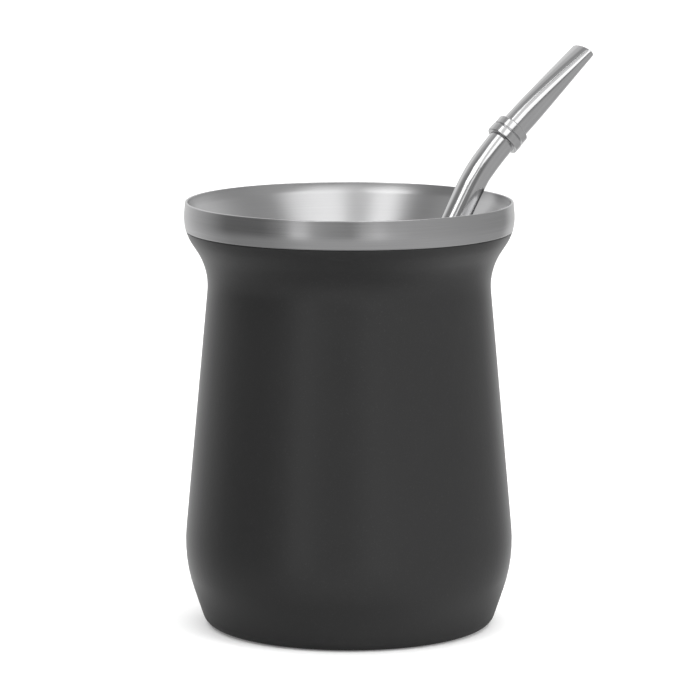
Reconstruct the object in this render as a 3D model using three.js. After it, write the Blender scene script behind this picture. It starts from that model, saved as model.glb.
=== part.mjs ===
// Mate cup of steel with a matt black outside, a bare steel rim and a steel
// drinking straw resting in it. Millimetres, +Z up. The origin is the middle
// of the flat base, on the surface the cup stands on. +X is the side the straw
// leans towards, and +Y is the side it leans back to.

import * as THREE from 'three';

// ---------------------------------------------------------------- sizes
// outside of the cup, as (radius, height) corners and the radius rounding each
const CUP_H = 103.0;          // top of the lip
const BASE_R = 34.68;         // flat base, before its edge is rounded
const BASE_ROUND = 3.44;
const BELLY_R = 40.14;        // widest place, low on the body
const BELLY_Z = 16.12;
const BELLY_ROUND = 36.2;
const NECK_R = 33.69;         // waist under the flared mouth
const NECK_Z = 86.67;
const NECK_ROUND = 15.3;
const SHOULDER_R = 40.07;     // barrel of the mouth, drawn in again to the lip
const SHOULDER_Z = 96.37;
const SHOULDER_ROUND = 11.57;
const BAND_Z = 96.13;         // where the black coat ends and the bare band starts
const LIP_R = 39.44;
const LIP_W = 0.55;           // thickness of the narrow lip
const LIP_ROUND = 0.28;

// inside of the cup
const FUNNEL_DEG = 36.2;      // mouth funnel, measured from the vertical
const THROAT_Z = 90.4;
const THROAT_ROUND = 10.0;
const BOWL_R = 37.0;          // bowl wall carried down to the floor
const BOWL_ROUND = 14.0;
const FLOOR_Z = 5.5;

// black outer shell round the steel cup
const SHELL_T = 0.8;
const GAP = 0.3;              // clearance between neighbouring pieces

// straw: a round tube that leans, bends twice and is pressed flat at the mouth
const STRAW_R = 3.36;
const STRAW_WALL = 0.5;
const STRAW_AZ = 29.0;        // plan direction of the lean, from +X to +Y
const STEM_RHO = 31.29;       // a point on the stem's axis: reach and height
const STEM_Z = 100.0;
const STEM_ELEV = 60.9;       // slope of the stem, then after each bend
const MID_ELEV = 47.97;
const MOUTH_ELEV = 42.31;
const BEND_S0 = 4.50;         // lengths along the straw from that point
const BEND_S1 = 13.00;
const BEND_S2 = 23.51;
const FLAT_S0 = 27.0;         // flattening starts here
const STRAW_END = 50.5;       // mouth end
const MOUTH_HALF_W = 4.31;    // the mouth is a flat oval: half its width
const MOUTH_HALF_T = 2.0;     // and half its thickness

// collar on the straw: two equal rings with a groove between them
const COLLAR_S0 = 19.0;
const COLLAR_S1 = 24.1;
const COLLAR_R = 4.38;
const COLLAR_ROUND = 0.4;
const GROOVE_S = 21.5;
const GROOVE_HALF = 0.35;
const GROOVE_D = 0.45;

// fineness
const TURN = 54;              // facets round the cup
const STRAW_SIDES = 20;       // facets round the straw
const COLLAR_SIDES = 28;

const rad = THREE.MathUtils.degToRad;

// ---------------------------------------------------------------- profiles
// corners [radius, height, rounding, steps] to a list of points with round corners
function rounded(corners) {
  const out = [];
  corners.forEach(([x, y, r = 0, steps = 4], i) => {
    const p = new THREE.Vector2(x, y);
    if (!r || i === 0 || i === corners.length - 1) { out.push(p); return; }
    const u = new THREE.Vector2(corners[i - 1][0], corners[i - 1][1]).sub(p).normalize();
    const v = new THREE.Vector2(corners[i + 1][0], corners[i + 1][1]).sub(p).normalize();
    const half = Math.acos(THREE.MathUtils.clamp(u.dot(v), -1, 1)) / 2;
    const centre = p.clone().add(u.clone().add(v).normalize().multiplyScalar(r / Math.sin(half)));
    const a = p.clone().add(u.multiplyScalar(r / Math.tan(half))).sub(centre);
    const b = p.clone().add(v.multiplyScalar(r / Math.tan(half))).sub(centre);
    const sweep = Math.atan2(a.x * b.y - a.y * b.x, a.dot(b));
    for (let k = 0; k <= steps; k++) {
      out.push(a.clone().rotateAround(new THREE.Vector2(), sweep * k / steps).add(centre));
    }
  });
  return out;
}

// radius of a rising profile at a height
function radiusAt(points, z) {
  for (let i = 1; i < points.length; i++) {
    const a = points[i - 1], b = points[i];
    if ((a.y - z) * (b.y - z) <= 0 && a.y !== b.y) {
      return a.x + (b.x - a.x) * (z - a.y) / (b.y - a.y);
    }
  }
  return points[points.length - 1].x;
}

// outside corners drawn in by a distance d, from the base to the band
function outsideCorners(d, steps) {
  return [
    [0, d],
    [BASE_R - 0.8 * d, d, BASE_ROUND, steps],
    [BELLY_R - d, BELLY_Z, BELLY_ROUND - d, steps * 2],
    [NECK_R - 1.03 * d, NECK_Z + 0.26 * d, NECK_ROUND + d, steps + 2],
    [SHOULDER_R - 1.03 * d, SHOULDER_Z + 0.26 * d, SHOULDER_ROUND - d, steps + 1],
    [LIP_R - d, CUP_H],
  ];
}

function lathe(points) {
  return new THREE.LatheGeometry(points, TURN);
}

// ---------------------------------------------------------------- the cup
const outside = rounded(outsideCorners(0, 4));

// black shell: from the base to just under the band, open at the top
function shellGeometry() {
  const top = BAND_Z - GAP;
  const out = outside.filter((p) => p.y < top);
  const inner = rounded(outsideCorners(SHELL_T, 1)).filter((p) => p.y < top - 1.0);
  const rim = radiusAt(outside, top);
  return lathe([
    ...out,
    new THREE.Vector2(rim, top),
    new THREE.Vector2(rim - SHELL_T / Math.cos(rad(28)), top),
    ...inner.reverse(),
  ]);
}

// steel cup: outer side within the shell, band, lip, funnel, bowl and floor
function linerGeometry() {
  const funnel = Math.tan(rad(FUNNEL_DEG));
  const lipIn = LIP_R - LIP_W;
  const throatR = lipIn - (CUP_H - THROAT_Z) * funnel;
  const hidden = rounded(outsideCorners(SHELL_T + GAP, 1)).filter((p) => p.y < BAND_Z - 1.6);
  const band = outside.filter((p) => p.y > BAND_Z + 0.05 && p.y < CUP_H - 0.5);
  const ledge = radiusAt(rounded(outsideCorners(SHELL_T + GAP, 4)), BAND_Z);
  const inside = rounded([
    [SHOULDER_R, SHOULDER_Z],
    [LIP_R, CUP_H, LIP_ROUND, 3],
    [lipIn, CUP_H, LIP_ROUND * 0.8, 2],
    [throatR, THROAT_Z, THROAT_ROUND, 5],
    [BOWL_R, FLOOR_Z, BOWL_ROUND, 6],
    [0, FLOOR_Z],
  ]).slice(1);
  return lathe([
    ...hidden,
    new THREE.Vector2(ledge, BAND_Z),
    new THREE.Vector2(radiusAt(outside, BAND_Z) + 0.12, BAND_Z),
    ...band,
    ...inside,
  ]);
}

// ---------------------------------------------------------------- the straw
// slope of the straw's axis at a length s, level after each bend
function elevation(s) {
  const s0 = BEND_S0, s1 = BEND_S1, s2 = BEND_S2;
  if (s <= s0) return rad(STEM_ELEV);
  if (s <= s1) return rad(THREE.MathUtils.mapLinear(s, s0, s1, STEM_ELEV, MID_ELEV));
  if (s <= s2) return rad(THREE.MathUtils.mapLinear(s, s1, s2, MID_ELEV, MOUTH_ELEV));
  return rad(MOUTH_ELEV);
}

// axis point and frame at a length s: along the straw, across it, and its upper side
const lean = new THREE.Vector3(Math.cos(rad(STRAW_AZ)), Math.sin(rad(STRAW_AZ)), 0);
const across = new THREE.Vector3(-lean.y, lean.x, 0);
function strawFrame(s) {
  let rho = STEM_RHO, z = STEM_Z;
  if (s <= BEND_S0) {
    rho += s * Math.cos(rad(STEM_ELEV));
    z += s * Math.sin(rad(STEM_ELEV));
  } else {
    const n = 200, h = s / n;
    for (let i = 0; i < n; i++) {
      const e = elevation((i + 0.5) * h);
      rho += h * Math.cos(e);
      z += h * Math.sin(e);
    }
  }
  const e = elevation(s);
  const at = lean.clone().multiplyScalar(rho).setZ(z);
  const along = lean.clone().multiplyScalar(Math.cos(e)).setZ(Math.sin(e));
  const upper = lean.clone().multiplyScalar(-Math.sin(e)).setZ(Math.cos(e));
  return { at, along, upper };
}

// lowest length of the stem, where its square-cut foot just clears the floor
const footZ = FLOOR_Z + GAP + STRAW_R * Math.cos(rad(STEM_ELEV));
const STRAW_START = (footZ - STEM_Z) / Math.sin(rad(STEM_ELEV));

// how far the tube is pressed at a length s, from 0 where it is round to 1 at the mouth
function pressed(s) {
  return THREE.MathUtils.clamp((s - FLAT_S0) / (STRAW_END - FLAT_S0), 0, 1);
}

// a straight hollow tube, then bent along the axis and pressed flat at the mouth
function strawGeometry() {
  const stations = [STRAW_START, STRAW_START / 2];
  for (let i = 0; i <= 4; i++) stations.push(BEND_S0 + (BEND_S1 - BEND_S0) * i / 4);
  for (let i = 1; i <= 3; i++) stations.push(BEND_S1 + (BEND_S2 - BEND_S1) * i / 3);
  for (let i = 0; i <= 5; i++) stations.push(FLAT_S0 + (STRAW_END - FLAT_S0) * i / 5);
  const inR = STRAW_R - STRAW_WALL;
  const profile = [
    ...stations.map((s) => new THREE.Vector2(STRAW_R, s)),
    ...stations.slice().reverse().map((s) => new THREE.Vector2(inR, s)),
  ];
  profile.push(profile[0].clone());
  const geometry = new THREE.LatheGeometry(profile, STRAW_SIDES, Math.PI / STRAW_SIDES);
  const pos = geometry.attributes.position;
  const frames = new Map();
  for (let i = 0; i < pos.count; i++) {
    const x = pos.getX(i), s = pos.getY(i), y = pos.getZ(i);
    const r = Math.hypot(x, y);
    const f = pressed(s);
    const inset = STRAW_R - r;
    const w = x / r * (THREE.MathUtils.lerp(STRAW_R, MOUTH_HALF_W, f) - inset);
    const t = y / r * (THREE.MathUtils.lerp(STRAW_R, MOUTH_HALF_T, f) - inset);
    const key = s.toFixed(4);
    if (!frames.has(key)) frames.set(key, strawFrame(s));
    const { at, upper } = frames.get(key);
    const p = at.clone().addScaledVector(across, w).addScaledVector(upper, -t);
    pos.setXYZ(i, p.x, p.y, p.z);
  }
  geometry.computeVertexNormals();
  return geometry;
}

// double ring, drawn upright about its own axis
function collarGeometry() {
  const half = (COLLAR_S1 - COLLAR_S0) / 2;
  const groove = GROOVE_S - (COLLAR_S0 + COLLAR_S1) / 2;
  const inR = STRAW_R + GAP;
  const profile = rounded([
    [inR, -half],
    [COLLAR_R, -half, COLLAR_ROUND, 3],
    [COLLAR_R, groove - GROOVE_HALF],
    [COLLAR_R - GROOVE_D, groove],
    [COLLAR_R, groove + GROOVE_HALF],
    [COLLAR_R, half, COLLAR_ROUND, 3],
    [inR, half],
    [inR, -half],
  ]);
  return new THREE.LatheGeometry(profile, COLLAR_SIDES);
}

// ---------------------------------------------------------------- the object
// a lathe turns about +Y: this stands it up on +Z
const upright = new THREE.Matrix4().makeRotationX(Math.PI / 2);

const steel = { color: 0xb4b4b6, roughness: 0.32, metalness: 1.0 };

const group = new THREE.Group();
group.name = 'mate_cup';

const shell = new THREE.Mesh(
  shellGeometry().applyMatrix4(upright),
  new THREE.MeshStandardMaterial({ color: 0x2a2a2b, roughness: 0.62, metalness: 0.0 }),
);
shell.name = 'outer_shell';
group.add(shell);

const liner = new THREE.Mesh(
  linerGeometry().applyMatrix4(upright),
  new THREE.MeshStandardMaterial(steel),
);
liner.name = 'steel_liner';
group.add(liner);

const straw = new THREE.Group();
const tube = new THREE.Mesh(
  strawGeometry(),
  new THREE.MeshStandardMaterial({ color: 0xc4c4c6, roughness: 0.12, metalness: 1.0 }),
);
tube.name = 'straw_tube';
straw.add(tube);

const collar = new THREE.Mesh(
  collarGeometry(),
  new THREE.MeshStandardMaterial({ color: 0xc4c4c6, roughness: 0.14, metalness: 1.0 }),
);
collar.name = 'straw_collar';
const mid = strawFrame((COLLAR_S0 + COLLAR_S1) / 2);
collar.position.copy(mid.at);
collar.quaternion.setFromUnitVectors(new THREE.Vector3(0, 1, 0), mid.along);
straw.add(collar);
group.add(straw);

export default group;
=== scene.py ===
"""Looks of a steel mate cup with a matt black outside and a bent steel straw.

Metres, +Z up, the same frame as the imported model: the origin is the middle of
the flat base. The cup and the straw are drawn finely here from named sizes.
"""

import math

import bpy
from mathutils import Matrix, Vector


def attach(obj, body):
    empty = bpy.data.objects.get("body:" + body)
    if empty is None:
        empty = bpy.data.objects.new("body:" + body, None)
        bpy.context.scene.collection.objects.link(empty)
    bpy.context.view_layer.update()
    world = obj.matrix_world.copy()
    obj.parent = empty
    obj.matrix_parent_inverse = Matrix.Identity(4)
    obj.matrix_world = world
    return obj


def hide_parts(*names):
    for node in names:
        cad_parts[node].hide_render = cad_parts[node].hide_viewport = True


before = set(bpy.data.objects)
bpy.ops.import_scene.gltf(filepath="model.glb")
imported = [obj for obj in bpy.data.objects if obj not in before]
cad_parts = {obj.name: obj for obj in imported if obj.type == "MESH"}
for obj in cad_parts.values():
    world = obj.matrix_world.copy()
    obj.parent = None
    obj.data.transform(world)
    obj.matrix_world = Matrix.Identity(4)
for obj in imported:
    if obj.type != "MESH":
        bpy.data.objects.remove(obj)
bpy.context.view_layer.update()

MM = 0.001

# ------------------------------------------------------------------ sizes, mm
CUP_H = 103.0
BASE_R, BASE_ROUND = 34.68, 3.44
BELLY_R, BELLY_Z, BELLY_ROUND = 40.14, 16.12, 36.2
NECK_R, NECK_Z, NECK_ROUND = 33.69, 86.67, 15.3
SHOULDER_R, SHOULDER_Z, SHOULDER_ROUND = 40.07, 96.37, 11.57
BAND_Z = 96.13           # the black coat ends and the bare band starts
LIP_R, LIP_W = 39.44, 0.55
LIP_OUT, LIP_IN = 0.22, 0.20
FUNNEL_DEG = 36.2
CROWN = ((0.0, 10.0), (0.9, 18.0), (1.9, 23.5), (2.9, 36.2))     # the funnel steepens under the lip: length, slope
THROAT_Z, THROAT_ROUND = 90.4, 10.0
BOWL_R, BOWL_ROUND, FLOOR_Z = 37.0, 14.0, 5.5
SHELL_T = 0.8
COAT_GAP = 0.10          # fine line between the black coat and the bare band
BAND_STEP = 0.07         # how far the bare band stands out over the coat

STRAW_R, STRAW_WALL = 3.36, 0.5
STRAW_AZ = 29.0
STEM_RHO, STEM_Z = 31.29, 100.0
STEM_ELEV, MID_ELEV, MOUTH_ELEV = 60.9, 47.97, 42.31
BEND_S0, BEND_S1, BEND_S2 = 4.50, 13.00, 23.51
FLAT_S0, STRAW_END = 27.0, 50.5
MOUTH_HALF_W, MOUTH_HALF_T = 4.31, 2.0
PINCH_S, PINCH_LEN, PINCH_D = 8.75, 1.7, 0.14      # slight dent inside the lower bend
COLLAR_S0, COLLAR_S1, COLLAR_R, COLLAR_ROUND = 19.0, 23.85, 4.38, 0.42
COLLAR_TOP_R = 4.27      # the upper ring is a little smaller
GROOVE_S, GROOVE_HALF, GROOVE_D = 21.43, 0.27, 0.45
FOOT_GAP = 0.3

TURN = 240               # facets round the cup
SIDES = 72               # facets round the straw


# ------------------------------------------------------------------ profiles
def rounded(corners, fine=1.0):
    """Corners (x, y, rounding) to points with round corners, about one point per 4 degrees."""
    out = []
    for i, c in enumerate(corners):
        p = Vector((c[0], c[1]))
        r = c[2] if len(c) > 2 else 0.0
        if not r or i in (0, len(corners) - 1):
            out.append(p)
            continue
        u = (Vector(corners[i - 1][:2]) - p).normalized()
        v = (Vector(corners[i + 1][:2]) - p).normalized()
        half = math.acos(max(-1.0, min(1.0, u.dot(v)))) / 2
        centre = p + (u + v).normalized() * (r / math.sin(half))
        a = p + u * (r / math.tan(half)) - centre
        b = p + v * (r / math.tan(half)) - centre
        sweep = math.atan2(a.x * b.y - a.y * b.x, a.dot(b))
        n = max(3, int(abs(math.degrees(sweep)) / 4.0 * fine) + 1)
        for k in range(n + 1):
            t = sweep * k / n
            out.append(centre + Vector((a.x * math.cos(t) - a.y * math.sin(t),
                                        a.x * math.sin(t) + a.y * math.cos(t))))
    return out


def spaced(points, step):
    """Adds points so that no two neighbours are further apart than step."""
    out = [points[0]]
    for p in points[1:]:
        n = max(1, int((p - out[-1]).length / step))
        a = out[-1]
        for k in range(1, n + 1):
            out.append(a.lerp(p, k / n))
    return out


def radius_at(points, z):
    for a, b in zip(points, points[1:]):
        if (a.y - z) * (b.y - z) <= 0 and a.y != b.y:
            return a.x + (b.x - a.x) * (z - a.y) / (b.y - a.y)
    return points[-1].x


def outside_corners(d=0.0):
    return [
        (0, d),
        (BASE_R - 0.8 * d, d, BASE_ROUND),
        (BELLY_R - d, BELLY_Z, BELLY_ROUND - d),
        (NECK_R - 1.03 * d, NECK_Z + 0.26 * d, NECK_ROUND + d),
        (SHOULDER_R - 1.03 * d, SHOULDER_Z + 0.26 * d, SHOULDER_ROUND - d),
        (LIP_R - d, CUP_H),
    ]


# ------------------------------------------------------------------ meshes
def mesh_piece(name, verts, faces, sharp_deg=40.0):
    me = bpy.data.meshes.new(name)
    me.from_pydata([tuple(Vector(v) * MM) for v in verts], [], faces)
    me.validate()
    me.update()
    me.shade_smooth()
    me.set_sharp_from_angle(angle=math.radians(sharp_deg))
    ob = bpy.data.objects.new(name, me)
    bpy.context.scene.collection.objects.link(ob)
    return ob


def turned(name, points, turn=TURN, sharp_deg=40.0, place=None):
    """Closed solid of revolution about Z from a profile that starts and ends on the axis,
    or that closes on itself when its first and last points are the same."""
    ring = (points[0] - points[-1]).length < 1e-6
    if ring:
        points = points[:-1]
    verts, rows = [], []
    for p in points:
        if p.x < 1e-6:
            rows.append([len(verts)] * turn)
            verts.append((0.0, 0.0, p.y))
        else:
            rows.append(list(range(len(verts), len(verts) + turn)))
            for k in range(turn):
                t = 2 * math.pi * k / turn
                verts.append((p.x * math.cos(t), p.x * math.sin(t), p.y))
    if ring:
        rows.append(rows[0])
    faces = []
    for a, b in zip(rows, rows[1:]):
        for k in range(turn):
            n = (k + 1) % turn
            q = [a[k], a[n], b[n], b[k]]
            face = [v for i, v in enumerate(q) if v not in q[:i]]
            if len(face) > 2:
                faces.append(face)
    if place is not None:
        verts = [tuple(place @ Vector(v)) for v in verts]
    return mesh_piece(name, verts, faces, sharp_deg)


# ------------------------------------------------------------------ the cup
outside = rounded(outside_corners())


def shell_profile():
    """Black coat: base, body, and a fine rolled edge just under the bare band."""
    top = BAND_Z - COAT_GAP
    out = [p for p in outside if p.y < top - 0.15]
    rim = radius_at(outside, top)
    slope = math.radians(26)
    edge = [
        Vector((radius_at(outside, top - 0.14), top - 0.14)),
        Vector((rim - 0.045, top - 0.035)),
        Vector((rim - 0.13, top)),
        Vector((rim - SHELL_T / math.cos(slope), top)),
    ]
    inner = [p for p in rounded(outside_corners(SHELL_T)) if p.y < top - 1.0]
    return spaced(out + edge, 1.6) + inner[::-1]


def liner_profile():
    """Bare steel: hidden outer side, ledge, band, lip, funnel, bowl and floor."""
    funnel = math.tan(math.radians(FUNNEL_DEG))
    lip_in = LIP_R - LIP_W
    crown, at = [], Vector((lip_in, CUP_H))
    for (s0, a0), (s1, a1) in zip(CROWN, CROWN[1:]):
        for k in range(6):
            a = math.radians(a0 + (a1 - a0) * (k + 0.5) / 6)
            at = at - Vector((math.sin(a), math.cos(a))) * ((s1 - s0) / 6)
            crown.append(tuple(at))
    crown = crown[1:]
    throat = at.x - (at.y - THROAT_Z) * funnel
    hid = rounded(outside_corners(SHELL_T + 0.3))
    hidden = [p for p in hid if p.y < BAND_Z - 1.6]
    foot = radius_at(outside, BAND_Z) + BAND_STEP
    band = [p for p in outside if BAND_Z + 0.35 < p.y < CUP_H - 0.5]
    ledge = [
        Vector((radius_at(hid, BAND_Z - 0.02), BAND_Z)),
        Vector((foot - 0.10, BAND_Z)),
        Vector((foot - 0.03, BAND_Z + 0.03)),
        Vector((foot + 0.02, BAND_Z + 0.11)),
    ]
    inside = rounded([
        (SHOULDER_R, SHOULDER_Z),
        (LIP_R, CUP_H, LIP_OUT),
        (lip_in, CUP_H, LIP_IN),
        *crown,
        (throat, THROAT_Z, THROAT_ROUND),
        (BOWL_R, FLOOR_Z, BOWL_ROUND),
        (0, FLOOR_Z),
    ], 2.0)[1:]
    return hidden + ledge + spaced(band + inside, 1.6)


shell = turned("cup_shell", shell_profile())
liner = turned("cup_steel", liner_profile())


# ------------------------------------------------------------------ the straw
LEAN = Vector((math.cos(math.radians(STRAW_AZ)), math.sin(math.radians(STRAW_AZ)), 0.0))
ACROSS = Vector((-LEAN.y, LEAN.x, 0.0))


def elevation(s):
    if s <= BEND_S0:
        e = STEM_ELEV
    elif s <= BEND_S1:
        e = STEM_ELEV + (MID_ELEV - STEM_ELEV) * (s - BEND_S0) / (BEND_S1 - BEND_S0)
    elif s <= BEND_S2:
        e = MID_ELEV + (MOUTH_ELEV - MID_ELEV) * (s - BEND_S1) / (BEND_S2 - BEND_S1)
    else:
        e = MOUTH_ELEV
    return math.radians(e)


def straw_frame(s):
    """Axis point, direction along the straw and direction of its upper side."""
    rho, z = STEM_RHO, STEM_Z
    if s <= BEND_S0:
        rho += s * math.cos(elevation(s))
        z += s * math.sin(elevation(s))
    else:
        n = 200
        for i in range(n):
            e = elevation((i + 0.5) * s / n)
            rho += s / n * math.cos(e)
            z += s / n * math.sin(e)
    e = elevation(s)
    at = LEAN * rho + Vector((0, 0, z))
    along = LEAN * math.cos(e) + Vector((0, 0, math.sin(e)))
    upper = LEAN * -math.sin(e) + Vector((0, 0, math.cos(e)))
    return at, along, upper


STRAW_START = (FLOOR_Z + FOOT_GAP + STRAW_R * math.cos(math.radians(STEM_ELEV)) - STEM_Z) / math.sin(math.radians(STEM_ELEV))


def pressed(s):
    """How far the tube is pressed at a length s: 0 where it is round, 1 at the mouth."""
    return max(0.0, min(1.0, (s - FLAT_S0) / (STRAW_END - FLAT_S0))) ** 1.4


def girth(s):
    """Points and outward normals round the tube's outer side, evenly spaced along its girth:
    a circle that is pressed to a flat oval towards the mouth."""
    f = pressed(s)
    a = STRAW_R + (MOUTH_HALF_W - STRAW_R) * f
    b = STRAW_R + (MOUTH_HALF_T - STRAW_R) * f
    fine = []
    for i in range(361):
        t = math.radians(i - 90)
        n = Vector((math.cos(t) / a, math.sin(t) / b)).normalized()
        fine.append((Vector((a * math.cos(t), b * math.sin(t))), n))
    run = [0.0]
    for (p, _), (q, _) in zip(fine, fine[1:]):
        run.append(run[-1] + (q - p).length)
    out, i = [], 0
    for k in range(SIDES):
        at = run[-1] * (k + 0.5) / SIDES
        while run[i + 1] < at:
            i += 1
        t = (at - run[i]) / max(run[i + 1] - run[i], 1e-9)
        p = fine[i][0].lerp(fine[i + 1][0], t)
        n = fine[i][1].lerp(fine[i + 1][1], t).normalized()
        p.y += PINCH_D * math.exp(-((s - PINCH_S) / PINCH_LEN) ** 2) * max(0.0, -n.y) ** 2
        out.append((p, n))
    return out


def straw_piece():
    """Hollow tube: up the outside, over the rounded mouth end, and down the bore."""
    round_r = 0.22
    outer = [STRAW_START + round_r]
    s = outer[0]
    while s < BEND_S0 - 2:
        s += 3.0
        outer.append(min(s, BEND_S0))
    s = outer[-1]
    while s < STRAW_END - round_r - 0.4:
        s += 0.5
        outer.append(s)
    outer.append(STRAW_END - round_r)
    bore = [v for i, v in enumerate(outer[::-1]) if i % 2 == 0 or v < 0]
    stations = [(0.0, v) for v in outer]
    for k in range(1, 6):                           # mouth end, rounded outside and in
        t = math.pi * k / 6
        stations.append((STRAW_WALL / 2 * (1 - math.cos(t)), STRAW_END - round_r + round_r * math.sin(t)))
    stations += [(STRAW_WALL, v) for v in bore]
    for k in range(1, 4):                           # foot end
        t = math.pi * k / 4
        stations.append((STRAW_WALL / 2 * (1 + math.cos(t)), STRAW_START + round_r - round_r * math.sin(t)))
    verts, faces = [], []
    for off, v in stations:
        at, _, upper = straw_frame(v)
        for p, n in girth(v):
            q = p - n * off
            verts.append(at + ACROSS * q.x + upper * q.y)
    n = len(stations)
    for i in range(n):
        j = (i + 1) % n
        for k in range(SIDES):
            m = (k + 1) % SIDES
            faces.append((i * SIDES + k, j * SIDES + k, j * SIDES + m, i * SIDES + m))
    return mesh_piece("straw_tube_fine", verts, faces, 60.0)


def collar_piece():
    half = (COLLAR_S1 - COLLAR_S0) / 2
    mid = (COLLAR_S0 + COLLAR_S1) / 2
    g = GROOVE_S - mid
    inner = STRAW_R + 0.04
    prof = rounded([
        (inner, -half),
        (COLLAR_R, -half, COLLAR_ROUND),
        (COLLAR_R, g - GROOVE_HALF, 0.16),
        (COLLAR_R - GROOVE_D, g, 0.06),
        (COLLAR_TOP_R, g + GROOVE_HALF, 0.12),
        (COLLAR_TOP_R, half, COLLAR_ROUND),
        (inner, half),
        (inner, -half),
    ], 1.5)
    at, along, upper = straw_frame(mid)
    place = Matrix.Translation(at) @ Matrix((ACROSS, upper, along)).transposed().to_4x4()
    # keeps the turned ring's faces pointing out
    if place.to_3x3().determinant() < 0:
        place = Matrix.Translation(at) @ Matrix((-ACROSS, upper, along)).transposed().to_4x4()
    return turned("straw_collar_fine", prof, 96, 60.0, place)


tube = straw_piece()
collar = collar_piece()


# ------------------------------------------------------------------ node helpers
class Nodes:
    """Short hand for building a node tree."""

    def __init__(self, tree):
        self.tree = tree
        tree.nodes.clear()

    def add(self, kind, **props):
        n = self.tree.nodes.new(kind)
        for k, v in props.items():
            setattr(n, k, v)
        return n

    def put(self, socket, value):
        if isinstance(value, bpy.types.NodeSocket):
            self.tree.links.new(value, socket)
        else:
            socket.default_value = value

    def math(self, op, a, b=0.0, c=None):
        n = self.add("ShaderNodeMath", operation=op)
        self.put(n.inputs[0], a)
        self.put(n.inputs[1], b)
        if c is not None:
            self.put(n.inputs[2], c)
        return n.outputs[0]

    def noise(self, vector, scale, detail=3.0, rough=0.5):
        n = self.add("ShaderNodeTexNoise")
        self.put(n.inputs["Vector"], vector)
        n.inputs["Scale"].default_value = scale
        n.inputs["Detail"].default_value = detail
        n.inputs["Roughness"].default_value = rough
        return n.outputs["Fac"]

    def range(self, value, lo, hi, a=0.0, b=1.0):
        n = self.add("ShaderNodeMapRange")
        self.put(n.inputs["Value"], value)
        n.inputs["From Min"].default_value = a
        n.inputs["From Max"].default_value = b
        n.inputs["To Min"].default_value = lo
        n.inputs["To Max"].default_value = hi
        return n.outputs[0]

    def mix(self, fac, a, b):
        n = self.add("ShaderNodeMix", data_type="RGBA")
        self.put(n.inputs[0], fac)
        self.put(n.inputs[6], a)
        self.put(n.inputs[7], b)
        return n.outputs[2]

    def combine(self, x, y, z):
        n = self.add("ShaderNodeCombineXYZ")
        for i, v in enumerate((x, y, z)):
            self.put(n.inputs[i], v)
        return n.outputs[0]

    def ramp(self, fac, stops, mode="EASE"):
        n = self.add("ShaderNodeValToRGB")
        cr = n.color_ramp
        cr.interpolation = mode
        while len(cr.elements) < len(stops):
            cr.elements.new(0.5)
        for e, (pos, val) in zip(cr.elements, stops):
            e.position = pos
            e.color = (val, val, val, 1.0)
        self.put(n.inputs[0], fac)
        return n.outputs[0]


def material(name):
    m = bpy.data.materials.new(name)
    m.use_nodes = True
    n = Nodes(m.node_tree)
    out = n.add("ShaderNodeOutputMaterial")
    bsdf = n.add("ShaderNodeBsdfPrincipled")
    n.tree.links.new(bsdf.outputs[0], out.inputs[0])
    return m, n, bsdf


def bump(n, height, strength, distance):
    b = n.add("ShaderNodeBump")
    b.inputs["Strength"].default_value = strength
    b.inputs["Distance"].default_value = distance
    n.put(b.inputs["Height"], height)
    return b.outputs[0]


# ------------------------------------------------------------------ materials
def black_coat():
    """Matt powder coat: near black, a very fine pebbled grain and slight cloudiness."""
    m, n, b = material("black_coat_fine")
    pos = n.add("ShaderNodeNewGeometry").outputs["Position"]
    cloud = n.noise(pos, 28.0, 3.0, 0.55)
    grain = n.noise(pos, 2600.0, 2.0, 0.6)
    peel = n.noise(pos, 900.0, 2.0, 0.5)
    col = n.mix(cloud, (0.0134, 0.0134, 0.0136, 1), (0.0174, 0.0174, 0.0176, 1))
    speck = n.mix(n.range(grain, 0.0, 1.0, 0.58, 0.78), col, (0.026, 0.026, 0.0262, 1))
    up = n.add("ShaderNodeSeparateXYZ")
    n.put(up.inputs[0], pos)
    # painted shade: the coat's colour and specular are darker where the foot turns under, standing in for the
    # contact shadow at the floor
    n.put(b.inputs["Base Color"], n.mix(n.range(up.outputs[2], 0.0, 1.0, 0.0, 0.0018), (0.006, 0.006, 0.0061, 1), speck))
    n.put(b.inputs["Specular IOR Level"], n.range(up.outputs[2], 0.15, 0.5, 0.0, 0.0018))
    rough = n.math("ADD", n.range(cloud, 0.29, 0.35), n.range(grain, -0.03, 0.03))
    rough = n.math("ADD", rough, n.range(up.outputs[2], 0.42, 0.0, 0.002, 0.012))     # duller towards the base
    n.put(b.inputs["Roughness"], rough)
    n.put(b.inputs["Sheen Weight"], n.range(up.outputs[2], 0.0, 0.10, 0.0005, 0.004))    # pales towards its outline
    b.inputs["Sheen Roughness"].default_value = 0.3
    height = n.math("ADD", n.math("MULTIPLY", grain, 0.5), peel)
    n.put(b.inputs["Normal"], bump(n, height, 0.22, 0.00006))
    return m


def turned_coordinates(n, around, across):
    """Coordinates that run slowly round the cup's axis and quickly along its profile."""
    pos = n.add("ShaderNodeNewGeometry").outputs["Position"]
    sep = n.add("ShaderNodeSeparateXYZ")
    n.put(sep.inputs[0], pos)
    x, y, z = sep.outputs
    r = n.math("SQRT", n.math("ADD", n.math("MULTIPLY", x, x), n.math("MULTIPLY", y, y)))
    n.radius, n.height = r, z
    safe = n.math("MAXIMUM", r, 1e-4)
    along = n.math("ADD", z, n.math("MULTIPLY", r, 0.73))
    return pos, n.combine(
        n.math("MULTIPLY", n.math("DIVIDE", x, safe), around),
        n.math("MULTIPLY", n.math("DIVIDE", y, safe), around),
        n.math("MULTIPLY", along, across),
    )


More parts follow.
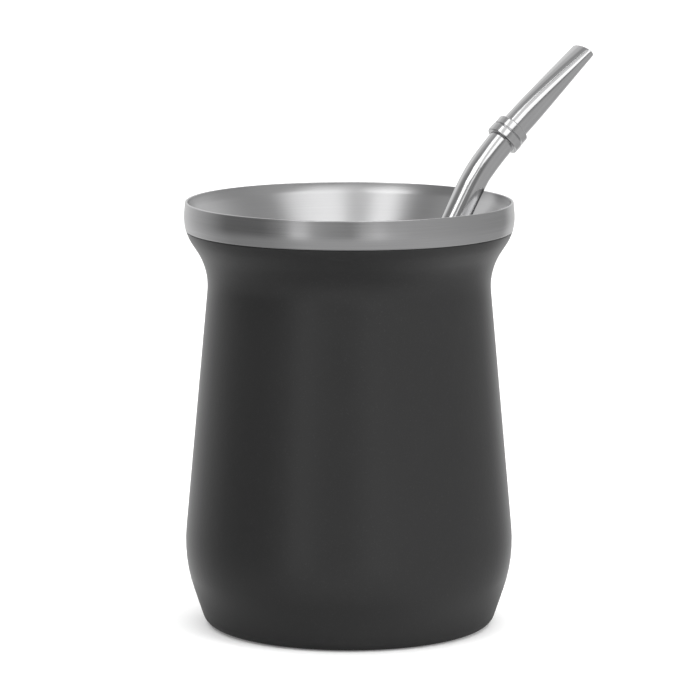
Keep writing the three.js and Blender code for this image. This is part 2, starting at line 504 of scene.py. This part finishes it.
def brushed_steel():
    """Satin steel brushed round the cup's axis."""
    m, n, b = material("brushed_steel_fine")
    pos, fine = turned_coordinates(n, 1.6, 5200.0)
    _, broad = turned_coordinates(n, 1.0, 900.0)
    lines = n.noise(fine, 1.0, 3.0, 0.65)
    bands = n.noise(broad, 1.0, 2.0, 0.5)
    cloud = n.noise(pos, 60.0, 2.0, 0.5)
    col = n.mix(lines, (0.49, 0.49, 0.495, 1), (0.61, 0.61, 0.615, 1))
    col = n.mix(n.range(cloud, 0.0, 0.35), col, (0.56, 0.56, 0.565, 1))
    # painted light: the steel is paler down in the bowl, lifting the shade deep inside it
    col = n.mix(n.range(n.height, 1.0, 0.0, 0.078, 0.088), col, (0.76, 0.76, 0.765, 1))    # paler down in the bowl
    n.put(b.inputs["Base Color"], col)
    b.inputs["Metallic"].default_value = 1.0
    inside = n.range(n.radius, 1.0, 0.0, 0.03885, 0.03905)
    rough = n.math("ADD", n.range(lines, 0.16, 0.24), n.range(bands, -0.02, 0.02))
    rough = n.math("ADD", rough, n.math("MULTIPLY", inside, 0.11))
    rough = n.math("ADD", rough, n.range(n.height, 0.16, 0.0, 0.078, 0.090))         # duller down in the bowl
    n.put(b.inputs["Roughness"], rough)
    b.inputs["Anisotropic"].default_value = 0.6
    b.inputs["Anisotropic Rotation"].default_value = 0.25
    t = n.add("ShaderNodeTangent", direction_type="RADIAL", axis="Z")
    n.put(b.inputs["Tangent"], t.outputs[0])
    n.put(b.inputs["Normal"], bump(n, lines, 0.10, 0.00002))
    return m


def polished_steel(name, rough_lo, rough_hi):
    """Polished tube: bright steel with faint drawing lines and slight smears."""
    m, n, b = material(name)
    pos = n.add("ShaderNodeNewGeometry").outputs["Position"]
    smear = n.noise(pos, 140.0, 3.0, 0.55)
    fine = n.noise(pos, 4200.0, 2.0, 0.5)
    col = n.mix(smear, (0.60, 0.60, 0.605, 1), (0.66, 0.66, 0.665, 1))
    n.put(b.inputs["Base Color"], col)
    b.inputs["Metallic"].default_value = 1.0
    n.put(b.inputs["Roughness"], n.math("ADD", n.range(smear, rough_lo, rough_hi), n.range(fine, -0.012, 0.012)))
    n.put(b.inputs["Normal"], bump(n, fine, 0.03, 0.00001))
    return m


def dress(piece, mat, node):
    piece.data.materials.append(mat)
    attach(piece, "root")
    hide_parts(node)


dress(shell, black_coat(), "outer_shell")
dress(liner, brushed_steel(), "steel_liner")
dress(tube, polished_steel("polished_steel_fine", 0.10, 0.15), "straw_tube")
dress(collar, polished_steel("collar_steel_fine", 0.11, 0.16), "straw_collar")


# ------------------------------------------------------------------ stage
def floor_piece():
    n = 24
    half = 6.0
    verts = [((i / n * 2 - 1) * half, (j / n * 2 - 1) * half, 0.0) for j in range(n + 1) for i in range(n + 1)]
    faces = [(j * (n + 1) + i, j * (n + 1) + i + 1, (j + 1) * (n + 1) + i + 1, (j + 1) * (n + 1) + i)
             for j in range(n) for i in range(n)]
    me = bpy.data.meshes.new("floor")
    me.from_pydata(verts, [], faces)
    ob = bpy.data.objects.new("floor", me)
    bpy.context.scene.collection.objects.link(ob)
    m, nn, b = material("floor_pale")
    pos = nn.add("ShaderNodeNewGeometry").outputs["Position"]
    soft = nn.noise(pos, 3.0, 2.0, 0.5)
    nn.put(b.inputs["Base Color"], nn.mix(soft, (0.88, 0.88, 0.88, 1), (0.91, 0.91, 0.91, 1)))
    b.inputs["Roughness"].default_value = 0.9
    b.inputs["Specular IOR Level"].default_value = 0.1
    b.inputs["Emission Color"].default_value = (1.0, 1.0, 1.0, 1.0)
    b.inputs["Emission Strength"].default_value = 0.15          # keeps the soft shadow faint
    me.materials.append(m)
    ob.visible_glossy = False                       # the steel mirrors the studio, not this sheet
    return ob


floor_piece()


def area(name, at, aim, size_x, size_y, watts):
    li = bpy.data.lights.new(name, "AREA")
    li.shape = "RECTANGLE"
    li.size = size_x
    li.size_y = size_y
    li.energy = watts
    ob = bpy.data.objects.new(name, li)
    ob.location = at
    ob.rotation_euler = (Vector(aim) - Vector(at)).to_track_quat("-Z", "Y").to_euler()
    bpy.context.scene.collection.objects.link(ob)
    return ob


def panel_watts(radiance, size_x, size_y):
    """Power of a square-on area light that shows this radiance."""
    return radiance * math.pi * size_x * size_y


# two soft panels overhead, in front of the cup, and a dimmer strip between them;
# the left one is three strips, with its back edge drawn forward step by step to the left
for i, (at_x, back_y, shine) in enumerate(((-0.37, -0.18, 1.63), (-0.63, -0.40, 1.88), (-0.89, -0.58, 1.95))):
    mid_y, deep = (back_y - 1.30) / 2, back_y + 1.30
    area(f"light_left_{i}", (at_x, mid_y, 1.10), (at_x, mid_y, 0.0), 0.26, deep, panel_watts(shine, 0.26, deep))
area("light_middle", (-0.10, -0.82, 1.10), (-0.10, -0.82, 0.0), 0.28, 0.96, panel_watts(0.50, 0.28, 0.96))
area("light_right", (0.41, -0.85, 1.10), (0.41, -0.85, 0.0), 0.74, 1.40, panel_watts(1.35, 0.74, 1.40))
# a dim strip further to the front, turned to run on from the right panel
front = area("light_front", (-0.10, -1.90, 1.10), (-0.10, -1.90, 0.0), 0.42, 0.70, panel_watts(0.95, 0.42, 0.70))
front.rotation_euler.rotate(Matrix.Rotation(math.radians(-38), 3, "Z"))
# wide fill that keeps the floor pale, and a weak one from the right; the steel mirrors neither
fill = area("light_fill", (0.0, 0.8, 3.0), (0.0, 0.8, 0.0), 6.0, 6.0, panel_watts(1.45, 6.0, 6.0))
fill.visible_glossy = False
side = area("light_side", (1.3, -0.9, 0.7), (0.0, 0.0, 0.05), 1.0, 1.0, 13.0)
side.visible_glossy = False

# studio round the cup: pale behind it, dark to the left, dim in front
world = bpy.data.worlds.new("studio")
bpy.context.scene.world = world
world.use_nodes = True
w = Nodes(world.node_tree)
w_out = w.add("ShaderNodeOutputWorld")
w_bg = w.add("ShaderNodeBackground")
w.tree.links.new(w_bg.outputs[0], w_out.inputs[0])
direction = w.add("ShaderNodeTexCoord").outputs["Generated"]
sep = w.add("ShaderNodeSeparateXYZ")
w.put(sep.inputs[0], direction)
# 0 and 1 straight behind the cup, 0.25 left, 0.5 in front of it, 0.75 right
turn = w.math("ADD", w.math("DIVIDE", w.math("ARCTAN2", sep.outputs[0], w.math("MULTIPLY", sep.outputs[1], -1.0)), 2 * math.pi), 0.5)


def azimuth(deg):
    return deg / 360.0 + 0.5


walls = w.ramp(turn, [
    (azimuth(-180), 0.72), (azimuth(-150), 0.70), (azimuth(-115), 0.40), (azimuth(-95), 0.16),
    (azimuth(-62), 0.14), (azimuth(-50), 0.26), (azimuth(-44), 0.44), (azimuth(-38), 0.90), (azimuth(-31), 0.88),
    (azimuth(-25), 0.50), (azimuth(-14), 0.38), (azimuth(2), 0.32), (azimuth(10), 0.64),
    (azimuth(20), 0.88), (azimuth(30), 0.62), (azimuth(45), 0.50), (azimuth(100), 0.42),
    (azimuth(137), 0.35), (azimuth(150), 0.64), (azimuth(180), 0.72),
], "LINEAR")
belt = w.ramp(turn, [
    (azimuth(-180), 0.80), (azimuth(-150), 0.88), (azimuth(-126), 0.92), (azimuth(-104), 0.40),
    (azimuth(-88), 0.25), (azimuth(-65), 0.28), (azimuth(-50), 0.42), (azimuth(-24), 0.44), (azimuth(0), 0.28),
    (azimuth(16), 0.27), (azimuth(25), 0.22), (azimuth(36), 0.42), (azimuth(45), 0.50), (azimuth(65), 0.50),
    (azimuth(85), 0.46), (azimuth(105), 0.41), (azimuth(120), 0.52), (azimuth(135), 0.72), (azimuth(150), 0.78),
    (azimuth(180), 0.80),
], "LINEAR")
high = w.ramp(turn, [
    (azimuth(-180), 0.72), (azimuth(-140), 0.66), (azimuth(-115), 0.56), (azimuth(-95), 0.40),
    (azimuth(-82), 0.26), (azimuth(-60), 0.24), (azimuth(-30), 0.40), (azimuth(0), 0.34),
    (azimuth(30), 0.31), (azimuth(45), 0.42), (azimuth(75), 0.44), (azimuth(105), 0.38),
    (azimuth(120), 0.44), (azimuth(135), 0.58), (azimuth(150), 0.62), (azimuth(180), 0.74),
], "LINEAR")
ceiling = w.ramp(turn, [
    (azimuth(-180), 0.64), (azimuth(-150), 0.58), (azimuth(-137), 0.46), (azimuth(-122), 0.36),
    (azimuth(-104), 0.38), (azimuth(-80), 0.44), (azimuth(-60), 0.30), (azimuth(-30), 0.42),
    (azimuth(100), 0.40), (azimuth(150), 0.52), (azimuth(180), 0.64),
], "LINEAR")
ground = w.ramp(turn, [
    (azimuth(-180), 0.80), (azimuth(-140), 0.70), (azimuth(-110), 0.45), (azimuth(-90), 0.34),
    (azimuth(-60), 0.36), (azimuth(-30), 0.52), (azimuth(0), 0.54), (azimuth(60), 0.55),
    (azimuth(100), 0.48), (azimuth(135), 0.46), (azimuth(150), 0.76), (azimuth(180), 0.84),
], "LINEAR")
under = w.ramp(turn, [
    (azimuth(-180), 0.60), (azimuth(-110), 0.42), (azimuth(-60), 0.25), (azimuth(0), 0.22),
    (azimuth(50), 0.30), (azimuth(95), 0.62), (azimuth(125), 0.86), (azimuth(180), 0.80),
], "LINEAR")
up_z = sep.outputs[2]
studio = w.mix(w.range(up_z, 0.0, 1.0, -0.12, -0.32), walls, ground)
studio = w.mix(w.range(up_z, 0.0, 1.0, -0.50, -0.72), studio, under)
studio = w.mix(w.range(up_z, 0.0, 1.0, 0.05, 0.17), studio, belt)
studio = w.mix(w.range(up_z, 0.0, 1.0, 0.54, 0.66), studio, high)
studio = w.mix(w.range(up_z, 0.0, 1.0, 0.80, 0.88), studio, ceiling)
w.put(w_bg.inputs[0], studio)
w_bg.inputs[1].default_value = 1.0

# ------------------------------------------------------------------ camera
cam_data = bpy.data.cameras.new("camera")
cam_data.sensor_width = 36.0
cam_data.sensor_fit = "HORIZONTAL"
cam_data.lens = 4245.21 * 36.0 / 700.0
cam_data.clip_start = 0.05
cam_data.clip_end = 30.0
cam = bpy.data.objects.new("camera", cam_data)
bpy.context.scene.collection.objects.link(cam)
yaw, pitch, roll = 0.0002, 0.15565, 0.00128
fwd = Vector((math.sin(yaw) * math.cos(pitch), math.cos(yaw) * math.cos(pitch), -math.sin(pitch)))
right = fwd.cross(Vector((0, 0, 1))).normalized()
up = right.cross(fwd)
r2 = right * math.cos(roll) + up * math.sin(roll)
u2 = up * math.cos(roll) - right * math.sin(roll)
cam.matrix_world = Matrix.Translation((0.0, -1.01244, 0.22564)) @ Matrix((r2, u2, -fwd)).transposed().to_4x4()
bpy.context.scene.camera = cam

view = bpy.context.scene.view_settings
view.view_transform = "Standard"
view.look = "None"
view.exposure = 0.0
view.gamma = 1.0
